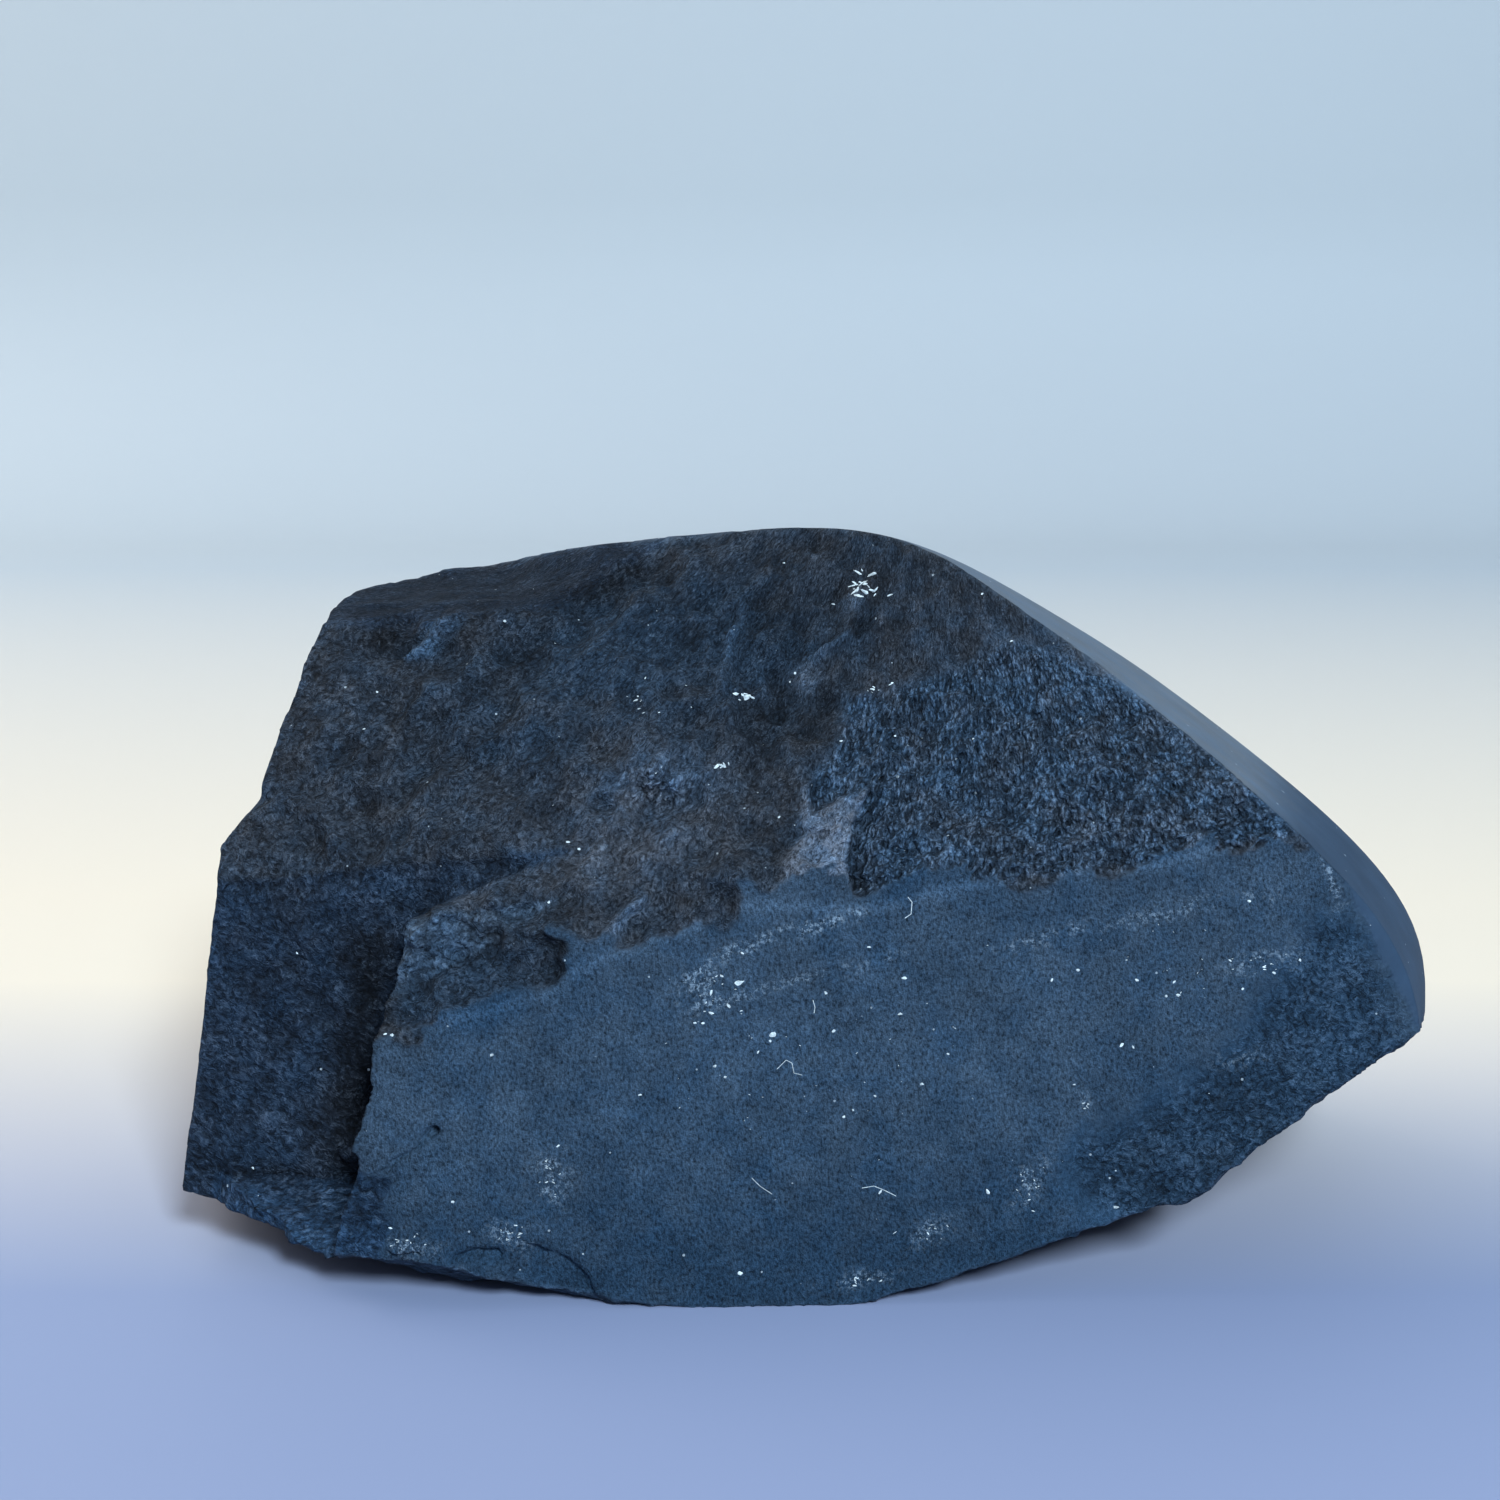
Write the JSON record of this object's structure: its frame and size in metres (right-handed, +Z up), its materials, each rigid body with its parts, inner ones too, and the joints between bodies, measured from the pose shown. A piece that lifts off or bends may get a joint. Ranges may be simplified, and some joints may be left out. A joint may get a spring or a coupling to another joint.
{
  "type": "chrysanthemum stone",
  "caption": "Dark slate-blue lump of chrysanthemum limestone with a flat sawn front, coarse broken slopes above it and a smooth ground skin round the back.",
  "frame": {"origin": "on the table under the middle of the stone, at the centre of its bounding box in X and Y", "axes": "+Z up, +X along the stone to the viewer's right, -Y towards the viewer and the sawn face"},
  "size_m": [0.1358, 0.0662, 0.0711],
  "materials": {
    "stone": "dull slate-blue limestone: fine sawn grain on the flat front, coarse broken grain above, ground smooth at the right end and back"
  },
  "bodies": {
    "root": {"stone": "stone"}
  },
  "joints": []
}
